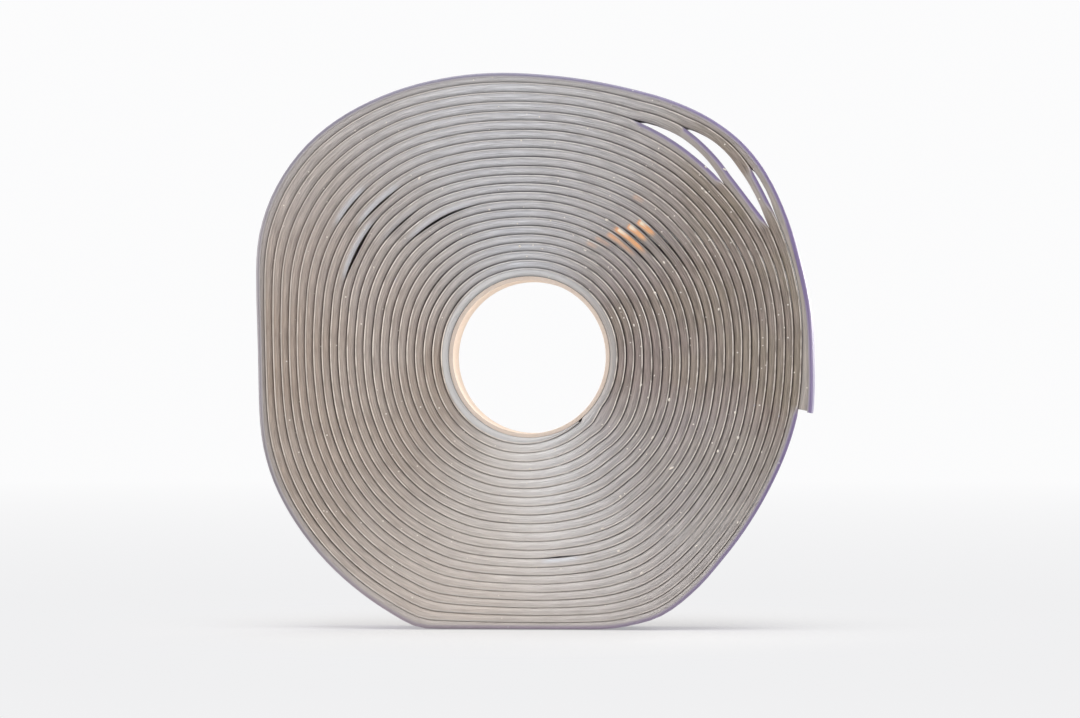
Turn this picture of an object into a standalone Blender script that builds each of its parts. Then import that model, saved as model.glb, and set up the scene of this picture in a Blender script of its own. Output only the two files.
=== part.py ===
"""Roll of butyl sealing tape, standing on its flattened side.

A long butyl strip with a release film on its outer face is wound on a cardboard core. The roll has
slumped, so its turns are squeezed at the base and at one side, swell between them, and part a little
near the outer end. The free end of the strip can be lifted, and its film peeled back.

Metres, +Z up. The roll's axis runs along Y and its shown face looks towards -Y. Angles are in degrees,
anticlockwise from +X seen from that face, and the tape runs outwards clockwise.
"""
import math

import bmesh
import bpy
from mathutils import Vector

# The tape and its core
TAPE_WIDTH = 0.025
STRIP_THICKNESS = 0.0023
FILM_THICKNESS = 0.0002
LAYER_GAP = 0.0003
CORE_RADIUS = 0.0283
CORE_WALL = 0.0012
CORE_SETBACK = 0.0004
CORE_SIDES = 96

# The winding: each turn climbs over the tape's start, the first ones more steeply
FULL_TURNS = 22
START_ANGLE = 307.5
END_ANGLE = -11.0
POINTS_PER_TURN = 24
FIRST_CLIMB = 20.0
CLIMB_GROWTH = 12.0

# The inner end of the strip is drawn out thin
THIN_START = 0.55
THIN_START_SPAN = 45.0

# How the roll has slumped: the pitch of its turns at an angle, as a multiple of the free pitch
SWELL = (
    (0.0, 0.973), (30.0, 1.022), (45.0, 1.008), (60.0, 1.025), (80.0, 0.980), (105.0, 1.022),
    (125.0, 1.098), (137.0, 1.124), (150.0, 1.103), (170.0, 1.030), (200.0, 1.006), (220.0, 1.034),
    (247.0, 1.046), (270.0, 1.060), (292.0, 1.042), (307.0, 1.012), (330.0, 0.962),
)

# The two flats: direction from the axis, and the pitch there as a multiple of the free pitch
BASE_DIRECTION = 270.0
BASE_SQUEEZE = 0.951
SIDE_DIRECTION = 180.0
SIDE_SQUEEZE = 0.945
FLAT_REACH = 40.0

# Open lenses between the outer turns: turn counted from outside, middle angle, half span, height
LENSES = ((3, 52.5, 11.5, 0.0027), (2, 42.0, 13.0, 0.0041), (1, 35.0, 6.5, 0.0015))

# The free end
TAIL_ROOT_ANGLE = 22.5
TAB_ROOT_ANGLE = 0.0
TAIL_LIFT = 0.0012

HALF_STEP = math.radians(180.0 / POINTS_PER_TURN)
SMOOTH_ANGLE = math.radians(30.0)
FREE_PITCH = STRIP_THICKNESS + FILM_THICKNESS + 2 * LAYER_GAP
CORE_SEAT = (CORE_RADIUS + LAYER_GAP) / math.cos(HALF_STEP)


def smooth_step(x):
    """Rise smoothly from 0 to 1 as x goes from 0 to 1."""
    x = min(max(x, 0.0), 1.0)
    return x * x * (3.0 - 2.0 * x)


def last_pass(angle):
    """Turns from the inner end to where the outermost turn crosses an angle."""
    angle = (angle - END_ANGLE) % 360.0 + END_ANGLE
    return FULL_TURNS + (START_ANGLE - angle) / 360.0


def layers_below(turns):
    """Layers under the tape: each turn lies on the last one and climbs over its start."""
    whole = math.floor(turns)
    climb = min((FIRST_CLIMB + CLIMB_GROWTH * whole) / 360.0, 1.0)
    return whole + smooth_step((turns - whole - 1.0) / climb + 1.0)


def free_swell(angle):
    """Smooth closed curve through the swell values."""
    count = len(SWELL)
    angle = angle % 360.0
    after = next((i for i in range(count) if SWELL[i][0] > angle), count)
    points = []
    for i in range(after - 2, after + 2):
        turn, index = divmod(i, count)
        points.append((SWELL[index][0] + 360.0 * turn, SWELL[index][1]))
    (a0, s0), (a1, s1), (a2, s2), (a3, s3) = points
    span = a2 - a1
    slope_1 = (s2 - s0) / (a2 - a0) * span
    slope_2 = (s3 - s1) / (a3 - a1) * span
    t = (angle - a1) / span
    rise = smooth_step(t)
    return s1 + (s2 - s1) * rise + t * (1 - t) * ((1 - t) * slope_1 - t * slope_2)


def outer_radius(pitch, angle):
    """Radius of the outermost film face for a pitch at an angle."""
    return CORE_SEAT - LAYER_GAP + pitch * (layers_below(last_pass(angle)) + 1.0)


def flat_distance(direction, squeeze):
    """Distance of a flat from the roll's axis."""
    return outer_radius(FREE_PITCH * squeeze, direction)


def turn_pitch(angle):
    """Pitch of the turns at an angle, cut back to the two flats."""
    pitch = FREE_PITCH * free_swell(angle)
    for direction, squeeze in ((BASE_DIRECTION, BASE_SQUEEZE), (SIDE_DIRECTION, SIDE_SQUEEZE)):
        off = (angle - direction + 180.0) % 360.0 - 180.0
        if abs(off) < FLAT_REACH:
            radius = flat_distance(direction, squeeze) / math.cos(math.radians(off))
            layers = layers_below(last_pass(angle)) + 1.0
            pitch = min(pitch, (radius - CORE_SEAT + LAYER_GAP) / layers)
    return pitch


def lift(turns, angle):
    """How far a turn stands off the one below, over the open lenses and at the free end."""
    from_outside = 1 + round(last_pass(angle) - turns)
    height = 0.0
    for turn, middle, half_span, lens_height in LENSES:
        off = abs(angle - middle) / half_span
        if from_outside <= turn and off < 1.0:
            height += lens_height * 0.5 * (1.0 + math.cos(math.pi * off))
    if from_outside == 1 and angle < TAIL_ROOT_ANGLE:
        height += TAIL_LIFT * ((TAIL_ROOT_ANGLE - angle) / (TAIL_ROOT_ANGLE - END_ANGLE)) ** 2
    return height


def tape_radii(turns):
    """Inner and outer radius of the strip and of its film at a place along the tape."""
    angle = (START_ANGLE - 360.0 * turns - END_ANGLE) % 360.0 + END_ANGLE
    pitch = turn_pitch(angle)
    strip_inner = CORE_SEAT + pitch * layers_below(turns) + lift(turns, angle)
    thickness = pitch - 2 * LAYER_GAP - FILM_THICKNESS
    start = smooth_step(360.0 * turns / THIN_START_SPAN)
    strip_outer = strip_inner + thickness * (THIN_START + (1.0 - THIN_START) * start)
    film_inner = strip_outer + LAYER_GAP
    return strip_inner, strip_outer, film_inner, film_inner + FILM_THICKNESS


def tape_point(radius, turns):
    """A point of the tape's edge line about the roll's axis, in the XZ plane."""
    angle = math.radians(START_ANGLE - 360.0 * turns)
    return Vector((radius * math.cos(angle), 0.0, radius * math.sin(angle)))


def tape_lines(places, film=False):
    """Inner and outer edge lines of the strip, or of its film, through places along the tape."""
    first = 2 if film else 0
    inner = [tape_point(tape_radii(turns)[first], turns) for turns in places]
    outer = [tape_point(tape_radii(turns)[first + 1], turns) for turns in places]
    return inner, outer


def distance_to_segment(point, a, b):
    """Distance of a point from the straight piece between two others."""
    along = b - a
    share = min(max((point - a).dot(along) / along.length_squared, 0.0), 1.0)
    return (point - a - along * share).length


def least_gap(inner, outer):
    """Least distance between each turn's outer line and the next turn's inner line."""
    gap = math.inf
    for i in range(1, len(inner) - POINTS_PER_TURN - 1):
        above = i + POINTS_PER_TURN
        for side in (-1, 1):
            gap = min(gap, distance_to_segment(outer[i], inner[above], inner[above + side]))
            gap = min(gap, distance_to_segment(inner[above], outer[i], outer[i + side]))
    return gap


def make_material(name, colour, roughness):
    """A plain non-metal finish."""
    material = bpy.data.materials.new(name)
    material.use_nodes = True
    shader = material.node_tree.nodes["Principled BSDF"]
    shader.inputs["Base Color"].default_value = (*colour, 1.0)
    shader.inputs["Roughness"].default_value = roughness
    shader.inputs["Metallic"].default_value = 0.0
    return material


def add_empty(name, place, parent=None):
    """An empty on an axis that pieces are placed from or turn about."""
    empty = bpy.data.objects.new(name, None)
    empty.location = place
    empty.parent = parent
    bpy.context.collection.objects.link(empty)
    return empty


def add_piece(name, bm, material, parent):
    """Close a mesh off as a named piece under its axis."""
    bmesh.ops.recalc_face_normals(bm, faces=bm.faces)
    mesh = bpy.data.meshes.new(name)
    bm.to_mesh(mesh)
    bm.free()
    mesh.materials.append(material)
    mesh.shade_smooth()
    mesh.set_sharp_from_angle(angle=SMOOTH_ANGLE)
    piece = bpy.data.objects.new(name, mesh)
    piece.parent = parent
    bpy.context.collection.objects.link(piece)


def add_band(name, lines, material, parent, origin):
    """One unbroken band of the tape's width, drawn out along its inner and outer edge lines."""
    half = Vector((0.0, TAPE_WIDTH / 2, 0.0))
    rings = [(a - half, b - half, b + half, a + half) for a, b in zip(*lines)]
    bm = bmesh.new()
    end = bm.faces.new([bm.verts.new(corner - origin) for corner in rings[0]])
    for ring in rings[1:]:
        end = bmesh.ops.extrude_discrete_faces(bm, faces=[end])["faces"][0]
        for vertex, corner in zip(end.verts, ring):
            vertex.co = corner - origin
    bmesh.ops.holes_fill(bm, edges=[edge for edge in bm.edges if edge.is_boundary])
    add_piece(name, bm, material, parent)


def add_core(material, parent):
    """Cardboard tube, spun from its wall section."""
    half = TAPE_WIDTH / 2 - CORE_SETBACK
    bore = CORE_RADIUS - CORE_WALL
    bm = bmesh.new()
    wall = ((bore, -half), (CORE_RADIUS, -half), (CORE_RADIUS, half), (bore, half))
    corners = [bm.verts.new((radius, across, 0.0)) for radius, across in wall]
    edges = [bm.edges.new((corners[i - 1], corners[i])) for i in range(len(corners))]
    bmesh.ops.spin(
        bm, geom=corners + edges, axis=(0.0, 1.0, 0.0), angle=math.tau, steps=CORE_SIDES, use_merge=True
    )
    add_piece("core_tube", bm, material, parent)


def print_gap(name, lines):
    """Print the least gap of a winding to itself."""
    print(f"Least gap of the {name} to itself: {least_gap(*lines) * 1000:.2f} mm")


def main():
    for old in list(bpy.data.objects):
        bpy.data.objects.remove(old)
    cardboard = make_material("cardboard", (0.76, 0.58, 0.43), 0.85)
    butyl = make_material("butyl", (0.32, 0.28, 0.26), 0.7)
    film = make_material("release_film", (0.22, 0.18, 0.42), 0.35)

    # Places along the tape: the wound length, and the stretches of the free end
    tail_root = last_pass(TAIL_ROOT_ANGLE)
    tab_root = last_pass(TAB_ROOT_ANGLE)
    tape_end = last_pass(END_ANGLE)
    tail_hinge = tape_point(tape_radii(tail_root)[3], tail_root)
    tab_hinge = tape_point(tape_radii(tab_root)[3], tab_root)
    tail_slit = LAYER_GAP / 2 / (math.tau * tail_hinge.length)
    tab_slit = LAYER_GAP / 2 / (math.tau * tab_hinge.length)
    points = [i / POINTS_PER_TURN for i in range(math.ceil(tape_end * POINTS_PER_TURN))]
    wound = [place for place in points if place < tail_root - tail_slit]
    before_tab = [place for place in points if tail_root + tail_slit < place < tab_root - tab_slit]
    after_tab = [place for place in points if place > tab_root + tab_slit] + [tape_end]
    wound.append(tail_root - tail_slit)
    before_tab.insert(0, tail_root + tail_slit)

    # The roll stands on its base flat, with its overall width centred
    strip_lines = tape_lines(wound)
    film_lines = tape_lines(wound, film=True)
    tail_lines = tape_lines(before_tab + [tab_root] + after_tab)
    film_before = tape_lines(before_tab + [tab_root - tab_slit], film=True)
    film_after = tape_lines([tab_root + tab_slit] + after_tab, film=True)
    across = [point.x for point in film_lines[1] + film_before[1] + film_after[1]]
    middle = (min(across) + max(across)) / 2
    height = flat_distance(BASE_DIRECTION, BASE_SQUEEZE)
    roll = add_empty("roll_axis", (-middle, 0.0, height))
    tail_axis = add_empty("tail_axis", tail_hinge, roll)
    tab_axis = add_empty("tab_axis", tab_hinge - tail_hinge, tail_axis)

    add_core(cardboard, roll)
    centre = Vector()
    add_band("butyl_winding", strip_lines, butyl, roll, centre)
    add_band("film_winding", film_lines, film, roll, centre)
    add_band("butyl_tail", tail_lines, butyl, tail_axis, tail_hinge)
    add_band("film_tail", film_before, film, tail_axis, tail_hinge)
    add_band("film_tab", film_after, film, tab_axis, tab_hinge)
    print_gap("butyl winding", strip_lines)
    print_gap("film winding", film_lines)


main()
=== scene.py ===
"""Looks of a roll of butyl sealing tape standing on its flattened side.

The tape is wound up here again, finer than the solids it stands for: a soft grey strip with a
pillowed edge, a violet release film folded round the strip's outer corners, and a paper core.

Metres, +Z up. The roll's axis runs along Y and its shown face looks towards -Y. Angles are in degrees,
anticlockwise from +X seen from that face, and the tape runs outwards clockwise.
"""

import math
import random
from collections import namedtuple

import bmesh
import bpy
from mathutils import Matrix, Vector, noise
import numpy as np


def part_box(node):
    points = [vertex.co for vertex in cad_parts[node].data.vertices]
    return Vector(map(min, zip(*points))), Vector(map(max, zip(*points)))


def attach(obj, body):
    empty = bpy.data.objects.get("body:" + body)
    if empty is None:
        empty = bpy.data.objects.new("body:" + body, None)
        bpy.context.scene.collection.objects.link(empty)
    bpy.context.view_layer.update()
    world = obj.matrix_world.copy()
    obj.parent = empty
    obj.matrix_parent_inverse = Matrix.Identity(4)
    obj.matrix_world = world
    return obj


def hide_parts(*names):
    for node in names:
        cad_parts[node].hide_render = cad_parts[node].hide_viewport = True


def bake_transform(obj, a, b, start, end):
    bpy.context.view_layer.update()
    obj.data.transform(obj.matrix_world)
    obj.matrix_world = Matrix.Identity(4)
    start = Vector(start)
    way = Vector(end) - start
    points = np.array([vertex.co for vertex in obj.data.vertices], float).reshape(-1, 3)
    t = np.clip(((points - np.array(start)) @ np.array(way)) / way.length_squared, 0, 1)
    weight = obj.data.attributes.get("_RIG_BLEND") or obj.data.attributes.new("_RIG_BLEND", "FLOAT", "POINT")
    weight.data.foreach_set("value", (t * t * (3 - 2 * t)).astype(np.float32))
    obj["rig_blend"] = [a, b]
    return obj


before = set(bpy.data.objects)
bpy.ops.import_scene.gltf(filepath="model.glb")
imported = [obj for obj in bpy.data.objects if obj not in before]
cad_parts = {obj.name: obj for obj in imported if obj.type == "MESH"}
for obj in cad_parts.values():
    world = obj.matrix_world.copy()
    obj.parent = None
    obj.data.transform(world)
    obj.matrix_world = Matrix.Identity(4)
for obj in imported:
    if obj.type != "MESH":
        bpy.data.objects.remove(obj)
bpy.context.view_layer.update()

MM = 0.001

# The tape and its core
FREE_PITCH = 3.1 * MM
CORE_RADIUS = 28.3 * MM
CORE_WALL = 1.2 * MM
CORE_SEAT = 28.55 * MM
FULL_TURNS = 22
START_ANGLE = 307.5
END_ANGLE = -11.0

# How far round the tape takes to climb over its own start: at first, and how much more each turn
FIRST_CLIMB = 8.0
CLIMB_GROWTH = 12.0

# How the roll has slumped. The outline in millimetres, at angles from the free end once round
OUTLINE = (
    (-11.0, 99.7), (0.0, 99.3), (10.0, 100.4), (20.0, 101.7), (30.0, 104.1), (38.0, 106.1), (45.0, 106.8),
    (52.0, 106.0), (60.0, 104.0), (70.0, 101.3), (80.0, 100.1), (90.0, 100.4), (105.0, 103.1), (120.0, 106.7),
    (130.0, 108.9), (138.0, 109.6), (147.0, 108.6), (155.0, 106.1), (160.0, 103.6), (165.0, 100.9),
    (170.0, 98.8), (175.0, 97.4), (180.0, 96.8), (185.0, 97.0), (190.0, 97.9), (195.0, 99.2), (200.0, 100.4),
    (207.0, 101.5), (220.0, 102.3), (235.0, 103.0), (241.0, 103.35), (246.0, 103.75), (250.0, 103.1),
    (255.0, 101.3), (262.0, 99.1), (270.0, 98.5), (278.0, 98.9), (285.0, 100.0), (290.0, 101.3),
    (297.0, 102.8), (305.0, 101.4), (315.0, 98.8), (330.0, 97.0), (349.0, 97.0),
)
BASE_EASE = 0.8

# The pitch of the turns near the core, as a multiple of the free pitch
INNER_PITCH = (
    (-11.0, 0.956), (0.0, 0.958), (10.0, 0.977), (20.0, 0.994), (40.0, 1.002), (52.0, 0.998), (65.0, 0.976),
    (80.0, 0.967), (95.0, 0.972), (110.0, 1.024), (120.0, 1.068), (130.0, 1.087), (140.0, 1.096),
    (150.0, 1.077), (160.0, 1.044), (170.0, 1.002), (185.0, 0.982), (200.0, 1.0), (215.0, 1.032),
    (230.0, 1.044), (250.0, 1.030), (265.0, 1.002), (280.0, 1.018), (290.0, 1.045), (300.0, 1.062),
    (310.0, 1.045), (320.0, 1.013), (330.0, 0.994), (349.0, 0.956),
)

# How fast the slump grows from the core outwards, as a power
OUTER_REACH = 5.0

# How far the turns lie lower over the thin start of the tape, in millimetres
START_DIP = (
    (-11.0, 0.0), (200.0, 0.0), (225.0, 0.1), (250.0, 0.4), (265.0, 0.7), (280.0, 1.4), (290.0, 2.0),
    (300.0, 2.5), (308.0, 2.65), (315.0, 1.6), (322.0, 0.7), (330.0, 0.15), (340.0, 0.0), (349.0, 0.0),
)

# Open lenses between the outer turns: turn counted from outside, middle angle, half span, height
LENSES = ((3, 54.3, 12.5, 2.4 * MM), (2, 43.0, 13.5, 3.7 * MM), (1, 35.5, 5.5, 0.9 * MM))
LENS_EASE = 0.35 * MM
LOOSE_TURNS = 3

# The turns under the lenses lie lower: middle angle, half span, depth
LENS_DROP = (44.5, 27.0, 6.1 * MM)

# Dark creases where two turns have parted without opening right through: angle, radius, half span,
# width, and how pale a painted gleam lies on the turn over them
CREASES = (
    (148.0, 72.4, 12.5, 0.95 * MM, 0.9), (123.0, 59.0, 18.0, 0.65 * MM, 0.8),
    (134.0, 67.0, 11.0, 0.4 * MM, 0.3), (134.5, 77.8, 10.0, 0.5 * MM, 0.9),
    (140.0, 85.0, 8.0, 0.45 * MM, 0.9), (140.0, 31.7, 24.0, 0.12 * MM, 0.0),
    (122.0, 34.8, 22.0, 0.12 * MM, 0.0), (142.0, 38.2, 24.0, 0.15 * MM, 0.0),
    (142.0, 41.5, 24.0, 0.15 * MM, 0.0), (127.0, 48.7, 17.0, 0.14 * MM, 0.0),
    (278.5, 71.2, 7.0, 0.35 * MM, 1.0), (54.0, 49.9, 14.0, 0.3 * MM, 0.0),
    (46.0, 52.9, 15.0, 0.4 * MM, 0.0), (46.0, 55.9, 15.0, 0.4 * MM, 0.0),
    (42.0, 59.2, 15.0, 0.38 * MM, 0.0), (40.0, 62.6, 14.0, 0.36 * MM, 0.0),
    (37.0, 66.0, 14.0, 0.25 * MM, 0.0),
)

# How much of its paleness, partly a painted highlight, the film's rim loses in a crease, and at what gap
CREASE_DULLING = 0.7
DULLING_GAP = 0.4 * MM

# Peach patches inside some of the creases: angle, radius, half span, strength
PEACH_PATCHES = (
    (50.0, 52.9, 8.5, 0.42), (48.6, 55.9, 8.4, 0.95), (48.6, 59.2, 4.8, 1.0), (47.3, 62.6, 4.2, 1.0),
    (55.0, 69.0, 2.4, 0.2), (57.0, 49.9, 5.0, 0.25), (60.5, 46.8, 4.0, 0.22),
)

# Where the violet of the outermost turn shows across its whole fold: middle angle, half span, strength
VIOLET = (18.0, 15.0, 0.85)

# The free end
TAIL_ROOT_ANGLE = 22.5
TAB_ROOT_ANGLE = 0.0
TAIL_SWELL = 1.9 * MM
TAIL_LEAN = math.radians(1.6)
FILM_OVERHANG = 0.3
OVERHANG_RUN = 1.0 * MM
SEAM_ANGLE = 40.0
TAB_SEAM_ANGLE = 5.0
TAIL_BEND = 9.0
TAB_BEND = 4.0

# The tape's section as it shows: the film's thickness, the gaps, and the pillowed edge of the strip
SHEET = 0.12 * MM
SKIN = 0.01 * MM
LEAST_SLACK = 0.06 * MM
FREE_GAP = 0.6 * MM
CLOSED_DEPTH = 6.0 * MM
BACK_RAISE = 0.9 * MM
CROWN = 0.42 * MM
CROWN_START = 0.14
CROWN_POINTS = 5

# Where a peach patch sets in over the strip's thickness and where a painted gleam ends, and over how much of
# it
PEACH_PATCH_RISE = (0.1, 0.35)
GLEAM_FALL = (0.75, 0.5)

# How much of the painted shade in the grooves is left off a corner that lies open
OPEN_UNSHADED = 0.9

# The strip's inner corner: steps out and in from its edge, each in corner sizes, then painted groove shade
# and painted gleam
INNER_CORNER = 0.21 * MM
CORNER_POINTS = ((0.0, 2.0, 1.0, 0.0), (0.15, 0.7, 0.97, 0.0), (0.6, 0.15, 0.7, 1.0))

# The film's fold over the strip's outer corner: its rise and its depth. It shrinks where the strip is
# thinner than the pitch by more than the allowance, and the strip is rounded under it at two angles
TIGHT_FOLD = (0.50 * MM, 0.27 * MM)
FREE_FOLD = (1.5 * MM, 0.7 * MM)
FOLD_ALLOWANCE = 0.2
FOLD_ANGLES = (45.0, 90.0)

# How pale the film is round its fold, partly a painted highlight, where it is tight and where it is free,
# by angle from its cut edge
FOLD_RIMS = ((4.0, 0.85, 0.6), (22.0, 1.0, 0.3), (38.0, 0.85, 0.0), (55.0, 0.0, 0.0), (90.0, 0.0, 0.0))

# Unevenness along the tape: waves in a turn, step from row to row, start, height
SLOW_WANDER = (1.7, 9.0, 3.0, 0.16 * MM)
QUICK_WANDER = (21.0, 5.0, 8.0, 0.04 * MM)
UNEVEN_SLACK = (5.0, 7.3, 0.5, 0.12 * MM)

# Spacing of the tape's sections round the roll, and a sector where they lie closer
STEP = 2.4
FINE_STEP = 0.8
FINE_SECTOR = (38.0, 60.0)

core_low, core_high = (Vector(corner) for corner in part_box("core_tube"))
strip_low, strip_high = (Vector(corner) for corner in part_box("butyl_winding"))
AXIS = (core_low + core_high) / 2
HALF_WIDTH = (strip_high.y - strip_low.y) / 2
CORE_HALF_WIDTH = (core_high.y - core_low.y) / 2

Station = namedtuple(
    "Station", "turns angle inner outer deep fold open pale bare stain gleam front back lean length"
)


def smooth_step(x):
    """Rise smoothly from 0 to 1 as x goes from 0 to 1."""
    x = min(max(x, 0.0), 1.0)
    return x * x * (3.0 - 2.0 * x)


def hump(x):
    """A smooth hump of height 1 over -1 to 1."""
    return 0.5 * (1.0 + math.cos(math.pi * x)) if abs(x) < 1.0 else 0.0


def tongue(x):
    """A profile over -1 to 1 that swells slowly and ends in a strong, sharp tip."""
    return smooth_step((x + 1.0) / 0.8) * smooth_step((1.0 - x) / 0.3) * (1.0 + 0.5 * smooth_step(x / 0.7))


def eased_min(a, b, ease):
    """The lower of two values, rounded off where they cross."""
    return min(a, b) - max(ease - abs(a - b), 0.0) ** 2 / (4.0 * ease)


def curve(table, angle):
    """Smooth curve through a table of angles and values."""
    last = len(table) - 1
    after = next((i for i in range(1, last) if table[i][0] > angle), last)
    points = [table[min(max(i, 0), last)] for i in range(after - 2, after + 2)]
    (a0, v0), (a1, v1), (a2, v2), (a3, v3) = points
    span = a2 - a1
    slope_1 = (v2 - v0) / (a2 - a0) * span
    slope_2 = (v3 - v1) / (a3 - a1) * span
    t = (angle - a1) / span
    return v1 + (v2 - v1) * smooth_step(t) + t * (1 - t) * ((1 - t) * slope_1 - t * slope_2)


def wander(kind, turns, row):
    """Unevenness at a place along the tape, different in each row."""
    waves, row_step, start, height = kind
    return height * noise.noise(Vector((turns * waves, row * row_step, start)))


def once_round(angle):
    """The same direction, counted from the free end once round."""
    return (angle - END_ANGLE) % 360.0 + END_ANGLE


def last_pass(angle):
    """Turns from the inner end to where the outermost turn crosses an angle."""
    return FULL_TURNS + (START_ANGLE - once_round(angle)) / 360.0


def layers_below(turns):
    """Layers under the tape: each turn lies on the last one and climbs over its start."""
    whole = math.floor(turns)
    climb = min((FIRST_CLIMB + CLIMB_GROWTH * whole) / 360.0, 1.0)
    return whole + smooth_step((turns - whole - 1.0) / climb + 1.0)


def outline(angle):
    """Radius of the roll's outside, flat where it rests on the floor."""
    radius = curve(OUTLINE, angle)
    down = -math.sin(math.radians(angle))
    if down > 0.5:
        radius = eased_min(radius, AXIS.z / MM / down, BASE_EASE)
    return radius * MM


def along_tail(angle):
    """Rise from 0 where the free end leaves the roll to 1 at its tip."""
    return (max(TAIL_ROOT_ANGLE - angle, 0.0) / (TAIL_ROOT_ANGLE - END_ANGLE)) ** 2


def drop(angle):
    """How far the turns under the lenses lie below where they would."""
    middle, half_span, depth = LENS_DROP
    return depth * hump((angle - middle) / half_span)


def lift(turn, angle):
    """How far a turn is lifted by the open lenses under it."""
    height = 0.0
    for under, middle, half_span, lens_height in LENSES:
        if turn <= under:
            bow = lens_height * (1.0 - ((angle - middle) / half_span) ** 2)
            height -= eased_min(-bow, 0.0, LENS_EASE)
    return height


def layer_radius(layers, angle):
    """Radius at the underside of a layer that lies on the ones below it."""
    total = layers_below(last_pass(angle)) + 1.0
    pitch = FREE_PITCH * curve(INNER_PITCH, angle)
    slump = outline(angle) - drop(angle) - CORE_SEAT - pitch * total
    dip = curve(START_DIP, angle) * MM * min(layers, 1.0) * (1.0 - layers / total)
    return CORE_SEAT + pitch * layers + slump * (layers / total) ** OUTER_REACH - dip


def nearest_turn(angle, radius):
    """The turn, counted from outside, whose outer face crosses an angle nearest to a radius."""
    last = last_pass(angle)
    turns = range(1, math.floor(last) + 2)
    return min(turns, key=lambda turn: abs(layer_radius(layers_below(last - turn + 1) + 1.0, angle) - radius))


crease_turns = [(nearest_turn(angle, radius * MM), angle, *rest) for angle, radius, *rest in CREASES]
peach_patch_turns = [(nearest_turn(angle, radius * MM), angle, *rest) for angle, radius, *rest in PEACH_PATCHES]


def creased(turn, angle):
    """How far a turn has parted from the one over it, and how strong a painted gleam lies on that one."""
    gap = 0.0
    gleam = 0.0
    for crease_turn, middle, half_span, width, paleness in crease_turns:
        if turn == crease_turn:
            share = hump((angle - middle) / half_span)
            gap += width * share
            gleam = max(gleam, paleness * smooth_step(2.0 * share))
    return gap, gleam


def peach_patched(turn, angle):
    """How strongly a turn's outer half is painted peach."""
    return max(
        strength * tongue((angle - middle) / half_span) if turn == peach_patch_turn else 0.0
        for peach_patch_turn, middle, half_span, strength in peach_patch_turns
    )


def edge_wander(turns, side):
    """How far a turn's edge stands out sideways."""
    return wander(SLOW_WANDER, turns, side) + wander(QUICK_WANDER, turns, side)


def tape_station(turns, length):
    """Where the tape's faces and corners lie at a place along it."""
    angle = once_round(START_ANGLE - 360.0 * turns)
    turn = 1 + round(last_pass(angle) - turns)
    raised = lift(turn, angle)
    below = layers_below(turns)
    above = layers_below(turns + 1.0) if turn > 1 else below + 1.0
    swelling = (drop(angle) - lift(1, angle)) / LOOSE_TURNS
    # The soft first turn fills the corner in front of its own start, where it would climb
    seat = 0.0 if turns < 1.0 - STEP / 360.0 else below
    inner = layer_radius(seat, angle) + raised + swelling * max(LOOSE_TURNS - turn, 0) + SKIN
    top = layer_radius(above, angle) + raised + swelling * max(LOOSE_TURNS + 1 - turn, 0)
    if turn == 1:
        top += TAIL_SWELL * along_tail(angle)
    gap = creased(turn, angle)[0]
    loose = LEAST_SLACK + max(wander(UNEVEN_SLACK, turns, turn), 0.0) + gap
    open_above = smooth_step((lift(turn - 1, angle) - raised) / FREE_GAP) if turn > 1 else 1.0
    bare = smooth_step((raised - lift(turn + 1, angle)) / FREE_GAP)
    outer = top - loose - SHEET - SKIN
    deep = top - LEAST_SLACK - SHEET - SKIN
    thin = min((outer - inner) / FREE_PITCH + FOLD_ALLOWANCE, 1.0)
    fold = [thin * (a + (b - a) * open_above) for a, b in zip(TIGHT_FOLD, FREE_FOLD)]
    lean = TAIL_LEAN * smooth_step((SEAM_ANGLE - angle) / SEAM_ANGLE) if turn == 1 else 0.0
    front = -HALF_WIDTH - edge_wander(turns, 0)
    back = HALF_WIDTH + edge_wander(turns, 1)
    stain = peach_patched(turn, angle)
    gleam = creased(turn + 1, angle)[1]
    pale = 1.0 - CREASE_DULLING * smooth_step(gap / DULLING_GAP)
    if turn == 1:
        middle, half_span, strength = VIOLET
        pale -= strength * hump((angle - middle) / half_span)
    return Station(
        turns, angle, inner, outer, deep, fold, open_above, pale, bare, stain, gleam,
        front, back, lean, length,
    )


def tape_stations(first, last):
    """Stations from one place to another, with the length of tape run off at each."""
    stations = [tape_station(first, 0.0)]
    while stations[-1].turns < last:
        before = stations[-1]
        step = (FINE_STEP if FINE_SECTOR[0] < before.angle < FINE_SECTOR[1] else STEP) / 360.0
        # The last step is up to half as long again, so that no sliver is left after it
        turns = before.turns + step if before.turns + 1.5 * step < last else last
        here = tape_station(turns, 0.0)
        run = math.tau * (turns - before.turns) * (here.inner + before.inner) / 2
        stations.append(here._replace(length=before.length + run))
    return stations


def crown_depth(share):
    """How far the strip's pillowed edge lies back, by the share of its thickness."""
    return CROWN * (2.0 * share - 1.0) ** 2


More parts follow.
